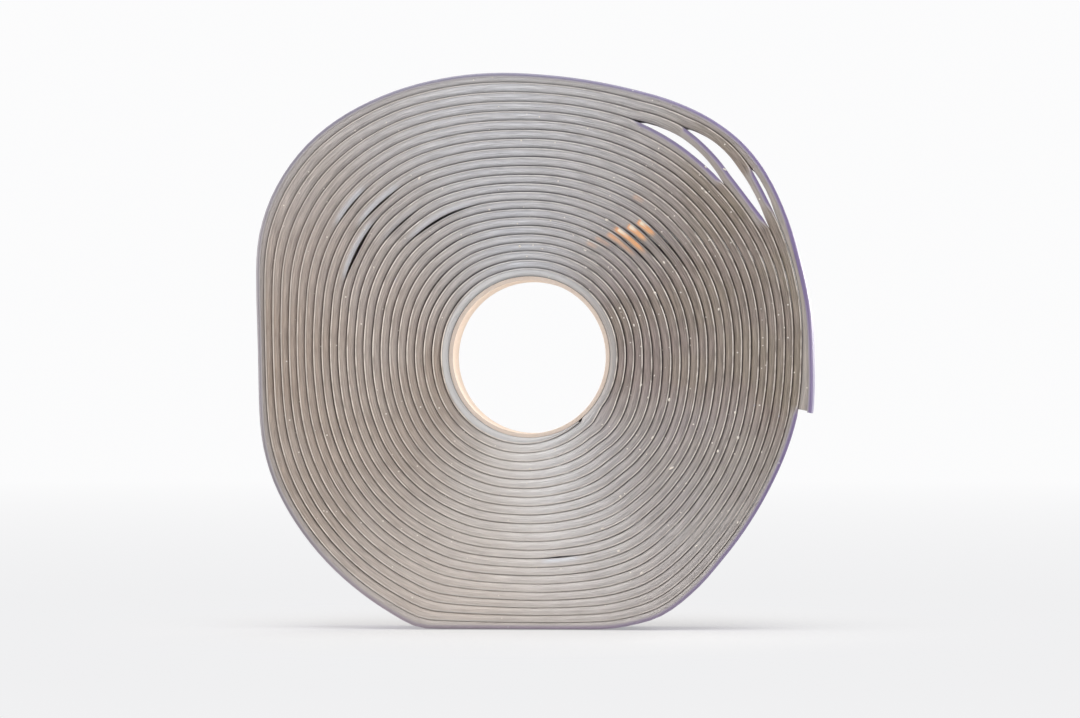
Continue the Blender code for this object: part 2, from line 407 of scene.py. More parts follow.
def strip_edge(station):
    """Section of one edge of the strip, from its inner to its outer face.

    Each point has its radius, its depth behind the edge, and its shades: painted groove shade, peach patch
    and painted gleam.
    """
    inner, outer = station.inner, station.outer
    rise, depth = station.fold
    thick = outer - inner
    shade_kept = 1.0 - OPEN_UNSHADED * station.bare
    points = [
        (inner + up * INNER_CORNER, CROWN + back * INNER_CORNER, groove_shade * shade_kept, 0.0, shine * station.gleam)
        for up, back, groove_shade, shine in CORNER_POINTS
    ]
    crown_end = 1.0 - rise / thick
    for i in range(CROWN_POINTS):
        share = CROWN_START + (crown_end - CROWN_START) * i / (CROWN_POINTS - 1)
        stain = station.stain * smooth_step((share - PEACH_PATCH_RISE[0]) / PEACH_PATCH_RISE[1])
        gleam = station.gleam * smooth_step((GLEAM_FALL[0] - share) / GLEAM_FALL[1])
        # Painted shade, darker towards the strip's edges, for its pillowed shape
        groove = (2.0 * share - 1.0) ** 2 * (1.0 - gleam)
        points.append((inner + thick * share, crown_depth(share), groove, stain, gleam))
    shoulder = crown_depth(crown_end)
    shade_kept = 1.0 - OPEN_UNSHADED * station.open
    for fold_angle in FOLD_ANGLES:
        angle = math.radians(fold_angle)
        radius = outer - rise + rise * math.sin(angle)
        points.append((radius, shoulder + depth * (1.0 - math.cos(angle)), shade_kept, 0.0, 0.0))
    return points


def closed_places(station):
    """Places across the tape between which it touches the next turn even in a crease."""
    return station.front + CLOSED_DEPTH, station.back - CLOSED_DEPTH


def strip_ring(station):
    """Closed section of the strip: radius, place across, painted groove shade, peach patch, painted gleam,
    free.
    """
    edge = strip_edge(station)
    rise = BACK_RAISE * station.bare
    thick = station.outer - station.inner
    width = station.back - station.front
    front = [(radius, station.front + depth, *shades) for radius, depth, *shades in edge]
    back = [
        (radius + rise * (station.outer - radius) / thick, station.back - depth, groove, 0.0, 0.0)
        for radius, depth, groove, *_ in reversed(edge)
    ]
    closed = [(station.deep, across, 0.0, 0.0, 0.0) for across in closed_places(station)]
    under = [
        (station.inner + rise * (across - station.front) / width, across, 0.0, 0.0, 0.0)
        for across in closed_places(station)[::-1]
    ]
    return [(*point, station.open) for point in front + closed + back + under]


def film_edge(station, height):
    """Section of one fold of the film, from its cut edge to the strip's outer face: radius, depth, rim."""
    rise, depth = station.fold
    shoulder = crown_depth(1.0 - rise / (station.outer - station.inner))
    points = []
    for fold_angle, tight_rim, free_rim in FOLD_RIMS:
        angle = math.radians(fold_angle)
        rim = station.pale * (tight_rim + (free_rim - tight_rim) * station.open)
        radius = station.outer - rise + (rise + height) * math.sin(angle)
        points.append((radius, shoulder + depth - (depth + height) * math.cos(angle), rim))
    return points


def film_ring(station):
    """Closed section of the film: radius, place across, rim, open."""
    ring = []
    for height in (SHEET + SKIN, SKIN):
        edge = film_edge(station, height)
        face = [(radius, station.front + depth, rim) for radius, depth, rim in edge]
        face += [(station.deep + height, across, 0.0) for across in closed_places(station)]
        face += [(radius, station.back - depth, rim) for radius, depth, rim in reversed(edge)]
        ring += face if not ring else face[::-1]
    return [(*point, station.open) for point in ring]


def roll_point(angle, radius, across):
    """A point of the roll from its angle, its distance from the axis and its place across."""
    angle = math.radians(angle)
    return AXIS + Vector((radius * math.cos(angle), across, radius * math.sin(angle)))


def tape_place(station, radius, across):
    """A point of the tape, with the free end's lean."""
    lean = math.tan(station.lean) * (across - station.front)
    return roll_point(station.angle, radius + lean, across)


def finish_mesh(name, bm, material, sharp=50.0):
    """Turn a finished bmesh into a piece with smooth faces."""
    bmesh.ops.recalc_face_normals(bm, faces=bm.faces)
    mesh = bpy.data.meshes.new(name)
    bm.to_mesh(mesh)
    bm.free()
    mesh.materials.append(material)
    mesh.shade_smooth()
    mesh.set_sharp_from_angle(angle=math.radians(sharp))
    piece = bpy.data.objects.new(name, mesh)
    bpy.context.collection.objects.link(piece)
    return piece


def wind_tape(name, stations, ring_of, shade_names, material):
    """A flat grid wound up along the stations, closed along its seam and at both ends."""
    rings = [ring_of(station) for station in stations]
    around = len(rings[0])
    along = len(stations)
    bm = bmesh.new()
    bmesh.ops.create_grid(bm, x_segments=along - 1, y_segments=around, size=1.0)
    for shade_name in shade_names:
        bm.verts.layers.float.new(shade_name)
    shade_layers = [bm.verts.layers.float[shade_name] for shade_name in shade_names]
    uv_layer = bm.loops.layers.uv.new("tape")
    bm.verts.ensure_lookup_table()
    girth = [0.0]
    middle = rings[along // 2]
    for i in range(around):
        step = Vector(middle[(i + 1) % around][:2]) - Vector(middle[i][:2])
        girth.append(girth[-1] + step.length)
    run = []
    for index, vertex in enumerate(bm.verts):
        row, column = divmod(index, along)
        station = stations[column]
        radius, across, *shades = rings[column][row % around]
        vertex.co = tape_place(station, radius, across)
        for shade_layer, shade in zip(shade_layers, shades):
            vertex[shade_layer] = shade
        run.append((station.length, girth[row]))
    for face in bm.faces:
        for loop in face.loops:
            loop[uv_layer].uv = run[loop.vert.index]
    seam = {bm.verts[around * along + i]: bm.verts[i] for i in range(along)}
    bmesh.ops.weld_verts(bm, targetmap=seam)
    rim = [edge for edge in bm.edges if edge.is_boundary]
    caps = bmesh.ops.holes_fill(bm, edges=rim)["faces"]
    for cap in caps:
        for loop in cap.loops:
            loop[uv_layer].uv = (loop.vert.co.y, (loop.vert.co - AXIS).length)
    return finish_mesh(name, bm, material)


# Materials. Colours in pairs are mixed by a mask from the first to the second

# Where most of a noise pattern's values lie
NOISE_SPAN = (0.3, 0.7)

# Directions and distances from the axis where the roll's painted light and shade, and its tone, change
UPRIGHT_ANGLE = 95.5
SHOULDER_ANGLE = 42.0
FAINT_LINES_ANGLE = 142.0
OUTWARD_SPAN = (50.0 * MM, 95.0 * MM)
FIRST_TURN_SPAN = (30.8 * MM, 31.8 * MM)

# Butyl in its furrows and on its ridges, with painted light and shade round the roll, pale at the top and
# bottom and dark at the sides: at the top, at the bottom near the core and far from it, on the right in
# two tinges, and on the left
BUTYL_TOP = ((0.425, 0.438, 0.478, 1), (0.765, 0.788, 0.845, 1))
BUTYL_BASE_COOL = ((0.61, 0.59, 0.58, 1), (0.85, 0.825, 0.81, 1))
BUTYL_BASE_WARM = ((0.61, 0.55, 0.51, 1), (0.85, 0.78, 0.735, 1))
BUTYL_MAUVE = ((0.105, 0.080, 0.076, 1), (0.395, 0.325, 0.308, 1))
BUTYL_OLIVE = ((0.100, 0.080, 0.060, 1), (0.375, 0.317, 0.258, 1))
BUTYL_TAN = ((0.20, 0.151, 0.120, 1), (0.485, 0.387, 0.32, 1))

# Marks on the butyl. The grey where a turn lies free is also that of the film's free edge
FIRST_TURN = (0.66, 0.67, 0.69, 1)
FREE_GREY = (0.56, 0.535, 0.535, 1)
LIGHT_STREAK = ((0.74, 0.73, 0.72, 1), (0.44, 0.38, 0.345, 1))
# A painted highlight, pale blue, on the turn over a crease
GLEAM = (0.74, 0.77, 0.84, 1)
PEACH = ((0.78, 0.36, 0.16, 1), (1.0, 0.58, 0.30, 1))
CREAM = (1.0, 0.86, 0.70, 1)
# Painted shade in the grooves between turns and across the pillowed strips: from top to bottom, and at the
# sides
HOLLOW_SHADE = ((0.20, 0.195, 0.20, 1), (0.50, 0.47, 0.455, 1))
SIDE_SHADE = (0.018, 0.009, 0.004, 1)
BUTYL_DUST = (0.80, 0.76, 0.70, 1)
RIDGE_HEIGHT = 0.5 * MM

# Film caught between turns, painted as the shade in the lines between them: from top to bottom, at the right
# from the core outwards, at the left, and where that painted shade is faint, from top to bottom
CAUGHT_FILM = ((0.37, 0.365, 0.385, 1), (0.64, 0.605, 0.58, 1))
CAUGHT_RIGHT = ((0.042, 0.025, 0.016, 1), (0.14, 0.10, 0.075, 1))
CAUGHT_LEFT = (0.165, 0.122, 0.095, 1)
CAUGHT_FAINT = ((0.46, 0.42, 0.395, 1), (0.64, 0.605, 0.58, 1))

# The violet of a free fold, with painted light and shade round the roll, from left to right, at the top, the
# bottom and the sides; and of the broad face
FOLD_TOP = ((0.14, 0.14, 0.175, 1), (0.115, 0.095, 0.21, 1))
FOLD_BOTTOM = ((0.43, 0.37, 0.365, 1), (0.36, 0.30, 0.45, 1))
FOLD_SIDE = ((0.155, 0.145, 0.175, 1), (0.20, 0.15, 0.315, 1))
FOLD_RIPPLE = (0.46, 0.43, 0.54, 1)
BROAD_FILM = ((0.19, 0.155, 0.32, 1), (0.25, 0.21, 0.39, 1))

# The film's pale cut edge, partly its own paleness and partly a painted highlight that changes round the
# roll: at the sides from left to right, and from top to bottom
RIM_SIDE = ((0.76, 0.70, 0.635, 1), (1.0, 0.94, 0.87, 1))
RIM_UPRIGHT = ((0.56, 0.555, 0.565, 1), (0.82, 0.79, 0.77, 1))
FILM_DUST = (0.48, 0.45, 0.50, 1)
RIPPLE_HEIGHT = 0.2 * MM

# Where the film bends round the strip's corners, in from the roll's faces
FOLD_SPAN = (2.0 * MM, 0.6 * MM)

# Kraft paper: its fibres, blotches, cut ends and specks, and how far in from the ends the cut shows
KRAFT = ((0.86, 0.72, 0.60, 1), (0.97, 0.86, 0.765, 1))
KRAFT_BLOTCH = (0.94, 0.78, 0.63, 1)
KRAFT_CUT = (0.62, 0.53, 0.48, 1)
KRAFT_SPECK = (0.52, 0.38, 0.27, 1)
CUT_SPAN = (0.25 * MM, 0.1 * MM)
FIBRE_HEIGHT = 0.2 * MM

CRUMB = ((0.66, 0.60, 0.52, 1), (0.92, 0.90, 0.86, 1))


def feed(tree, target, value):
    """Give an input socket a plain value, or link it to an output socket."""
    if isinstance(value, bpy.types.NodeSocket):
        tree.links.new(value, target)
    else:
        target.default_value = value


def add_node(tree, kind, **values):
    """A node with its properties set and its named inputs fed."""
    node = tree.nodes.new(kind)
    for name, value in values.items():
        if hasattr(node, name):
            setattr(node, name, value)
        else:
            feed(tree, node.inputs[name.replace("_", " ")], value)
    return node


def place_group(tree, group, **values):
    """The outputs of a shared group, put in a material with its own values."""
    return add_node(tree, "ShaderNodeGroup", node_tree=group, **values).outputs


def calculate(tree, operation, *values):
    """One step of arithmetic on sockets or plain numbers."""
    node = add_node(tree, "ShaderNodeMath", operation=operation)
    for target, value in zip(node.inputs, values):
        feed(tree, target, value)
    return node.outputs[0]


def vector_math(tree, operation, *values):
    """One step of arithmetic on vectors, each a socket or plain numbers."""
    node = add_node(tree, "ShaderNodeVectorMath", operation=operation)
    for target, value in zip(node.inputs, values):
        feed(tree, target, value)
    return node.outputs["Value" if operation in ("LENGTH", "DOT_PRODUCT") else "Vector"]


def map_range(tree, value, span, to=(0.0, 1.0)):
    """A value moved from one span to another and held at its ends."""
    ends = {"From_Min": span[0], "From_Max": span[1], "To_Min": to[0], "To_Max": to[1]}
    return add_node(tree, "ShaderNodeMapRange", Value=value, **ends).outputs[0]


def mix_colours(tree, share, first, second):
    """Mix two colours, each a socket or a plain colour, by a socket or a plain share."""
    node = add_node(tree, "ShaderNodeMix", data_type="RGBA")
    for target, value in ((node.inputs[0], share), (node.inputs[6], first), (node.inputs[7], second)):
        feed(tree, target, value)
    return node.outputs[2]


def noise_at(tree, place, scale, detail, **values):
    """A noise pattern over places."""
    node = add_node(tree, "ShaderNodeTexNoise", Vector=place, Scale=scale, Detail=detail, **values)
    return node.outputs["Fac"]


def object_place(tree):
    """Places on the piece itself."""
    return add_node(tree, "ShaderNodeTexCoord").outputs["Object"]


def tape_map(tree):
    """Places on the tape rolled out flat: along it and round its section."""
    return add_node(tree, "ShaderNodeUVMap", uv_map="tape").outputs[0]


def shade_of(tree, name):
    """A shade stored with the tape's points."""
    return add_node(tree, "ShaderNodeAttribute", attribute_name=name).outputs["Fac"]


def from_middle(tree, place):
    """How far a place lies from the middle of the roll's width."""
    split = add_node(tree, "ShaderNodeSeparateXYZ", Vector=place)
    return calculate(tree, "ABSOLUTE", calculate(tree, "SUBTRACT", split.outputs["Y"], AXIS.y))


def raise_bump(tree, shader, height, strength, distance):
    """A bump that feeds the shader's normal."""
    bump = add_node(tree, "ShaderNodeBump", Height=height, Strength=strength, Distance=distance)
    feed(tree, shader.inputs["Normal"], bump.outputs[0])


def new_material(name):
    """An empty node material with its shader."""
    material = bpy.data.materials.new(name)
    material.use_nodes = True
    tree = material.node_tree
    return material, tree, tree.nodes["Principled BSDF"]


def new_group(name, inputs, outputs):
    """An empty shader group with its sockets: inputs with a number, or None for a vector, and outputs."""
    group = bpy.data.node_groups.new(name, "ShaderNodeTree")
    for socket, value in inputs.items():
        kind = "NodeSocketVector" if value is None else "NodeSocketFloat"
        made = group.interface.new_socket(socket, in_out="INPUT", socket_type=kind)
        if value is not None:
            made.default_value = value
    for socket in outputs:
        group.interface.new_socket(socket, in_out="OUTPUT", socket_type="NodeSocketFloat")
    return group, add_node(group, "NodeGroupInput").outputs, add_node(group, "NodeGroupOutput").inputs


def make_streaks():
    """Fine lines drawn along the tape, from noise stretched on the tape's own map."""
    group, given, out = new_group(
        "drawn_streaks", {"Tape": None, "Along": 30.0, "Across": 3000.0, "Detail": 3.0}, ("Streak",)
    )
    scale = add_node(group, "ShaderNodeCombineXYZ", X=given["Along"], Y=given["Across"])
    stretched = vector_math(group, "MULTIPLY", given["Tape"], scale.outputs[0])
    feed(group, out["Streak"], noise_at(group, stretched, 1.0, given["Detail"], Roughness=0.6))
    return group


def make_specks():
    """Sparse round specks of dust: some cells of a cell pattern, near their middles."""
    group, given, out = new_group(
        "dust_specks", {"Place": None, "Fineness": 600.0, "Share": 0.06}, ("Mask",)
    )
    cells = add_node(
        group, "ShaderNodeTexVoronoi", feature="F1", Vector=given["Place"], Scale=given["Fineness"]
    )
    split = add_node(group, "ShaderNodeSeparateColor", Color=cells.outputs["Color"])
    picked = calculate(group, "LESS_THAN", split.outputs[0], given["Share"])
    near = map_range(group, cells.outputs["Distance"], (0.18, 0.32), (1.0, 0.0))
    feed(group, out["Mask"], calculate(group, "MULTIPLY", near, picked))
    return group


def agreement(tree, way, angle):
    """How far a direction round the roll agrees with an angle, from -1 to 1."""
    angle = math.radians(angle)
    return vector_math(tree, "DOT_PRODUCT", way, (math.cos(angle), 0.0, math.sin(angle)))


def facing(tree, way, angle):
    """1 where a direction round the roll has an angle, 0 a right angle away and beyond."""
    return calculate(tree, "MAXIMUM", agreement(tree, way, angle), 0.0)


def make_round_tone():
    """Masks round the roll for its painted light and shade, and how strong the painted shade of the lines
    between turns is there.

    Side is high on both sides, Right on the right, Low at the bottom, Out on the outer turns and First
    on the first turn.
    """
    group, given, out = new_group(
        "round_tone_and_shade", {"Place": None}, ("Side", "Right", "Low", "Out", "First", "Crisp")
    )
    place = given["Place"]
    flat = vector_math(group, "MULTIPLY", vector_math(group, "SUBTRACT", place, AXIS), (1.0, 0.0, 1.0))
    way = vector_math(group, "NORMALIZE", flat)
    reach = vector_math(group, "LENGTH", flat)
    split = add_node(group, "ShaderNodeSeparateXYZ", Vector=way)
    across = split.outputs["X"]
    up = split.outputs["Z"]
    rightward = map_range(group, across, (-0.9, 0.9))
    outward = map_range(group, reach, OUTWARD_SPAN)

    upright = calculate(group, "ABSOLUTE", agreement(group, way, UPRIGHT_ANGLE))
    height = calculate(group, "POWER", upright, 2.0)
    level = calculate(group, "POWER", calculate(group, "SUBTRACT", 1.0, height), 0.65)
    stronger = map_range(group, across, (-1.0, 1.0), (0.85, 1.0))
    patchy = map_range(group, noise_at(group, place, 22.0, 3.0), NOISE_SPAN, (-0.08, 0.16))
    side = calculate(group, "ADD", calculate(group, "MULTIPLY", level, stronger), patchy)
    shoulder = calculate(group, "POWER", facing(group, way, SHOULDER_ANGLE), 6.0)
    shoulder = calculate(group, "MULTIPLY", shoulder, outward)
    side = calculate(group, "ADD", side, calculate(group, "MULTIPLY", shoulder, 0.22))

    # Crisp: the strength of the painted shade in the lines between turns, weaker at the bottom, at the upper
    # left and far out on the right
    clear = map_range(group, noise_at(group, place, 30.0, 2.0), (0.35, 0.62), (0.7, 1.0))
    resting = calculate(group, "MULTIPLY", outward, map_range(group, up, (-0.85, -0.98)))
    faint_upper_left = calculate(group, "MULTIPLY", outward, facing(group, way, FAINT_LINES_ANGLE))
    faint = calculate(group, "MULTIPLY", outward, rightward)
    clear = calculate(group, "MULTIPLY", clear, map_range(group, resting, (0.1, 0.8), (1.0, 0.5)))
    clear = calculate(group, "MULTIPLY", clear, map_range(group, faint_upper_left, (0.3, 0.85), (1.0, 0.42)))
    clear = calculate(group, "MULTIPLY", clear, map_range(group, faint, (0.2, 0.9), (1.0, 0.75)))

    feed(group, out["Side"], side)
    feed(group, out["Right"], rightward)
    feed(group, out["Low"], map_range(group, up, (0.2, -0.9)))
    feed(group, out["Out"], outward)
    feed(group, out["First"], map_range(group, reach, FIRST_TURN_SPAN, (1.0, 0.0)))
    feed(group, out["Crisp"], clear)
    return group


def butyl_tone_and_shade(tree, place, ridge, tone):
    """The butyl's tone with painted light and shade: pale grey over and under the core, dark brown to its
    sides.
    """
    top = mix_colours(tree, ridge, *BUTYL_TOP)
    cool = mix_colours(tree, ridge, *BUTYL_BASE_COOL)
    warm = mix_colours(tree, ridge, *BUTYL_BASE_WARM)
    base = mix_colours(tree, tone["Out"], cool, warm)
    left = map_range(tree, tone["Right"], (0.4, 1.0), (1.0, 0.0))
    grey = mix_colours(tree, calculate(tree, "MULTIPLY", tone["Low"], left), top, base)

    mauve = mix_colours(tree, ridge, *BUTYL_MAUVE)
    olive = mix_colours(tree, ridge, *BUTYL_OLIVE)
    tan = mix_colours(tree, ridge, *BUTYL_TAN)
    tinge = map_range(tree, noise_at(tree, place, 60.0, 2.0), (0.4, 0.6), (-0.3, 0.3))
    spread = map_range(tree, tone["Out"], (0.0, 1.0), (0.3, 0.8))
    brown = mix_colours(tree, calculate(tree, "ADD", tinge, spread), mauve, olive)
    brown = mix_colours(tree, tone["Right"], tan, brown)

    # Painted light and shade round the roll: pale grey at the top and bottom, dark brown at the sides
    colour = mix_colours(tree, tone["Side"], grey, brown)
    first = map_range(tree, tone["Right"], (0.3, 1.0), (0.85, 0.45))
    return mix_colours(tree, calculate(tree, "MULTIPLY", tone["First"], first), colour, FIRST_TURN)


def butyl_material(streaks, specks, round_tone_and_shade):
    """Grey butyl, drawn in fine ridges along the tape, with peach patches, a painted gleam, painted shade in
    its grooves and corners, and painted light and shade round the roll.
    """
    material, tree, shader = new_material("butyl")
    tape = tape_map(tree)
    place = object_place(tree)
    fine = place_group(tree, streaks, Tape=tape, Along=120.0, Across=2600.0, Detail=4.0)[0]
    broad = place_group(tree, streaks, Tape=tape, Along=25.0, Across=700.0, Detail=2.0)[0]
    dust = place_group(tree, specks, Place=place, Fineness=900.0, Share=0.02)[0]
    tone = place_group(tree, round_tone_and_shade, Place=place)
    ridge = map_range(tree, fine, NOISE_SPAN)
    colour = butyl_tone_and_shade(tree, place, ridge, tone)
    free = calculate(tree, "MULTIPLY", shade_of(tree, "free"), 0.45)
    colour = mix_colours(tree, free, colour, FREE_GREY)
    wide = map_range(tree, broad, (0.45, 0.75), (0.0, 0.35))
    colour = mix_colours(tree, wide, colour, mix_colours(tree, tone["Side"], *LIGHT_STREAK))

    # Painted highlight on the turn over a crease
    gleam = calculate(tree, "MULTIPLY", shade_of(tree, "gleam"), 0.75)
    colour = mix_colours(tree, gleam, colour, GLEAM)
    stain = shade_of(tree, "stain")
    peach = mix_colours(tree, ridge, *PEACH)
    peach = mix_colours(tree, map_range(tree, stain, (1.0, 1.4)), peach, CREAM)
    colour = mix_colours(tree, map_range(tree, stain, (0.05, 0.8), (0.0, 0.95)), colour, peach)

    # Painted shade in the grooves between turns and across each pillowed strip, narrower and darker at the
    # sides
    narrow = calculate(tree, "MAXIMUM", tone["Side"], tone["Low"])
    narrow = map_range(tree, narrow, (0.0, 1.0), (1.3, 3.2))
    groove_shade = calculate(tree, "POWER", shade_of(tree, "groove"), narrow)
    groove_shade = calculate(tree, "MULTIPLY", groove_shade, tone["Crisp"])
    shade = mix_colours(tree, tone["Side"], mix_colours(tree, tone["Low"], *HOLLOW_SHADE), SIDE_SHADE)
    colour = mix_colours(tree, groove_shade, colour, shade)
    colour = mix_colours(tree, dust, colour, BUTYL_DUST)

    feed(tree, shader.inputs["Base Color"], colour)
    feed(tree, shader.inputs["Roughness"], map_range(tree, fine, NOISE_SPAN, (0.42, 0.60)))
    height = calculate(tree, "MULTIPLY_ADD", noise_at(tree, place, 2600.0, 2.0), 0.12, fine)
    raise_bump(tree, shader, height, 1.0, RIDGE_HEIGHT)
    return material


def caught_shade(tree, tone):
    """The film where it is caught between turns, painted dark as the shade in the lines between them, darkest
    at the sides.
    """
    upright = mix_colours(tree, tone["Low"], *CAUGHT_FILM)
    right = mix_colours(tree, tone["Out"], *CAUGHT_RIGHT)
    sides = mix_colours(tree, tone["Right"], CAUGHT_LEFT, right)
    dull = mix_colours(tree, tone["Side"], upright, sides)
    kept = calculate(tree, "MAXIMUM", tone["Crisp"], tone["Right"])
    return mix_colours(tree, kept, mix_colours(tree, tone["Low"], *CAUGHT_FAINT), dull)


def violet_tone_and_shade(tree, tone, ripple, folded):
    """The film's violet, on its broad face, and on its folds with painted light and shade round the roll."""
    # Painted light and shade on the fold: dark at the top and sides, lighter at the bottom
    top = mix_colours(tree, tone["Right"], *FOLD_TOP)
    bottom = mix_colours(tree, tone["Right"], *FOLD_BOTTOM)
    sides = mix_colours(tree, tone["Right"], *FOLD_SIDE)
    fold = mix_colours(tree, tone["Side"], mix_colours(tree, tone["Low"], top, bottom), sides)
    fold = mix_colours(tree, calculate(tree, "MULTIPLY", ripple, 0.12), fold, FOLD_RIPPLE)
    return mix_colours(tree, folded, mix_colours(tree, ripple, *BROAD_FILM), fold)


def film_material(streaks, specks, round_tone_and_shade):
    """Violet release film, pale along its cut edge with a painted highlight there, and painted as shade where
    it is caught between turns.
    """
    material, tree, shader = new_material("release_film")
    tape = tape_map(tree)
    place = object_place(tree)
    lines = place_group(tree, streaks, Tape=tape, Along=40.0, Across=400.0, Detail=3.0)[0]
    dashes = place_group(tree, streaks, Tape=tape, Along=130.0, Across=300.0, Detail=2.0)[0]
    dust = place_group(tree, specks, Place=place, Fineness=700.0, Share=0.01)[0]
    tone = place_group(tree, round_tone_and_shade, Place=place)
    free = shade_of(tree, "open")
    folded = map_range(tree, from_middle(tree, place), [HALF_WIDTH - end for end in FOLD_SPAN])
    bare = calculate(tree, "MAXIMUM", free, calculate(tree, "SUBTRACT", 1.0, folded))
    violet = violet_tone_and_shade(tree, tone, map_range(tree, lines, NOISE_SPAN), folded)
    colour = mix_colours(tree, bare, caught_shade(tree, tone), violet)

    broken = map_range(tree, dashes, (0.36, 0.54), (0.35, 1.0))
    broken = calculate(tree, "MAXIMUM", free, calculate(tree, "MULTIPLY", broken, tone["Crisp"]))
    # The rim: a pale cut edge with a painted highlight, brighter at the sides than at the top and bottom
    rim = map_range(tree, shade_of(tree, "rim"), (0.1, 0.8), (0.0, 0.95))
    upright = mix_colours(tree, tone["Low"], *RIM_UPRIGHT)
    rim_highlight = mix_colours(tree, tone["Side"], upright, mix_colours(tree, tone["Right"], *RIM_SIDE))
    rim_highlight = mix_colours(tree, free, rim_highlight, FREE_GREY)
    colour = mix_colours(tree, calculate(tree, "MULTIPLY", rim, broken), colour, rim_highlight)
    colour = mix_colours(tree, dust, colour, FILM_DUST)

    feed(tree, shader.inputs["Base Color"], colour)
    feed(tree, shader.inputs["Roughness"], map_range(tree, lines, NOISE_SPAN, (0.32, 0.46)))
    raise_bump(tree, shader, lines, 0.25, RIPPLE_HEIGHT)
    return material


def cardboard_material(specks):
    """Pale kraft paper with fibres, greyer on its cut ends."""
    material, tree, shader = new_material("cardboard")
    place = object_place(tree)
    dust = place_group(tree, specks, Place=place, Fineness=500.0, Share=0.05)[0]
    fibres = noise_at(tree, place, 900.0, 4.0, Roughness=0.7)
    colour = mix_colours(tree, map_range(tree, fibres, NOISE_SPAN), *KRAFT)
    blotches = map_range(tree, noise_at(tree, place, 90.0, 2.0), (0.4, 0.7), (0.0, 0.5))
    colour = mix_colours(tree, blotches, colour, KRAFT_BLOTCH)
    cut_span = [CORE_HALF_WIDTH - end for end in CUT_SPAN]
    cut = map_range(tree, from_middle(tree, place), cut_span, (0.0, 0.6))
    colour = mix_colours(tree, cut, colour, KRAFT_CUT)
    colour = mix_colours(tree, dust, colour, KRAFT_SPECK)
    feed(tree, shader.inputs["Base Color"], colour)
    feed(tree, shader.inputs["Roughness"], map_range(tree, fibres, NOISE_SPAN, (0.75, 0.95)))
    raise_bump(tree, shader, fibres, 0.4, FIBRE_HEIGHT)
    return material


def fleck_material():
    """Chalky crumbs."""
    material, tree, shader = new_material("pale_flecks")
    grain = noise_at(tree, object_place(tree), 3000.0, 2.0)
    feed(tree, shader.inputs["Base Color"], mix_colours(tree, grain, *CRUMB))
    feed(tree, shader.inputs["Roughness"], map_range(tree, grain, NOISE_SPAN, (0.7, 0.95)))
    return material


# Pieces

# The core's plies, and the grooves between them: depth, and half their width as a share of a ply
CORE_PLIES = 3
PLY_GROOVE = 0.06 * MM
GROOVE_SHARE = 0.12
CORE_ROUND = 0.12 * MM
CORE_STEPS = 192
CORE_SHARP = 35.0


def add_core(material):
    """Paper tube with its plies showing on the cut ends, spun from its wall section."""
    outside = CORE_SEAT - SKIN
    bore = CORE_RADIUS - CORE_WALL
    ply = (outside - bore) / CORE_PLIES
    half = CORE_HALF_WIDTH
    groove = ply * GROOVE_SHARE
    end = [(bore, half)]
    for i in range(1, CORE_PLIES):
        middle = bore + ply * i
        end += [(middle - groove, half), (middle, half - PLY_GROOVE), (middle + groove, half)]
    end.append((outside, half))
    section = [(radius, -across) for radius, across in end] + end[::-1]
    bm = bmesh.new()
    corners = [bm.verts.new(AXIS + Vector((radius, across, 0.0))) for radius, across in section]
    for i in range(len(corners)):
        bm.edges.new((corners[i - 1], corners[i]))
    last = len(end) - 1
    rounded = [corners[i] for i in (0, last, last + 1, 2 * last + 1)]
    bmesh.ops.bevel(
        bm, geom=rounded, offset=CORE_ROUND, segments=3, profile=0.5, affect="VERTICES", material=-1
    )
    bmesh.ops.spin(
        bm, geom=bm.verts[:] + bm.edges[:], cent=AXIS, axis=(0.0, 1.0, 0.0), angle=math.tau,
        steps=CORE_STEPS, use_merge=True,
    )
    return finish_mesh("core", bm, material, sharp=CORE_SHARP)


# Crumbs: turns kept clear at both ends, angles as middle and spread, the share on the shown face, places
# as shares of the strip's thickness, size in millimetres as the least and what is added, shape and turn
FLECK_COUNT = 170
FLECK_SEED = 7
FLECK_CLEAR_TURNS = 2.0
FLECK_ANGLES = (8.0, 62.0)
FLECK_FRONT = 0.72
FLECK_PLACES = ((0.8, 0.95), (0.05, 0.95))
FLECK_SIZE = (0.17, 0.42)
FLECK_BREADTH = (0.6, 1.0)
FLECK_HEIGHT = 0.6
FLECK_LENGTH = (1.0, 1.9)
FLECK_TURN = (-0.4, 0.4)


def add_flecks(material, last_place):
    """Pale crumbs stuck along the edges of the turns, most of them on the right of the shown face."""
    draw = random.Random(FLECK_SEED)
    bm = bmesh.new()
    for _ in range(FLECK_COUNT):
        whole = math.floor(draw.uniform(FLECK_CLEAR_TURNS, last_place - FLECK_CLEAR_TURNS))
        angle = draw.gauss(*FLECK_ANGLES)
        station = tape_station(whole + (START_ANGLE - angle) % 360.0 / 360.0, 0.0)
        on_front = draw.random() < FLECK_FRONT
        share = draw.choice([draw.uniform(*span) for span in FLECK_PLACES])
        radius = station.inner + (station.outer - station.inner) * share
        depth = crown_depth(share)
        across = station.front + depth if on_front else station.back - depth
        size = (FLECK_SIZE[0] + FLECK_SIZE[1] * draw.random() ** 2) * MM
        breadth = size * draw.uniform(*FLECK_BREADTH)
        shape = Matrix.Diagonal((breadth, size * FLECK_HEIGHT, size * draw.uniform(*FLECK_LENGTH), 1))
        turn = Matrix.Rotation(math.radians(-station.angle) + draw.uniform(*FLECK_TURN), 4, "Y")
        where = Matrix.Translation(tape_place(station, radius, across))
        bmesh.ops.create_icosphere(bm, subdivisions=1, radius=1.0, matrix=where @ turn @ shape)
    return finish_mesh("pale_flecks", bm, material)


def bend_line(angle, half_span):
    """The two ends of a bend in the outermost turn, on the roll's middle plane."""
    radius = tape_station(last_pass(angle), 0.0).outer
    return [roll_point(angle + off, radius, 0.0) for off in (half_span, -half_span)]


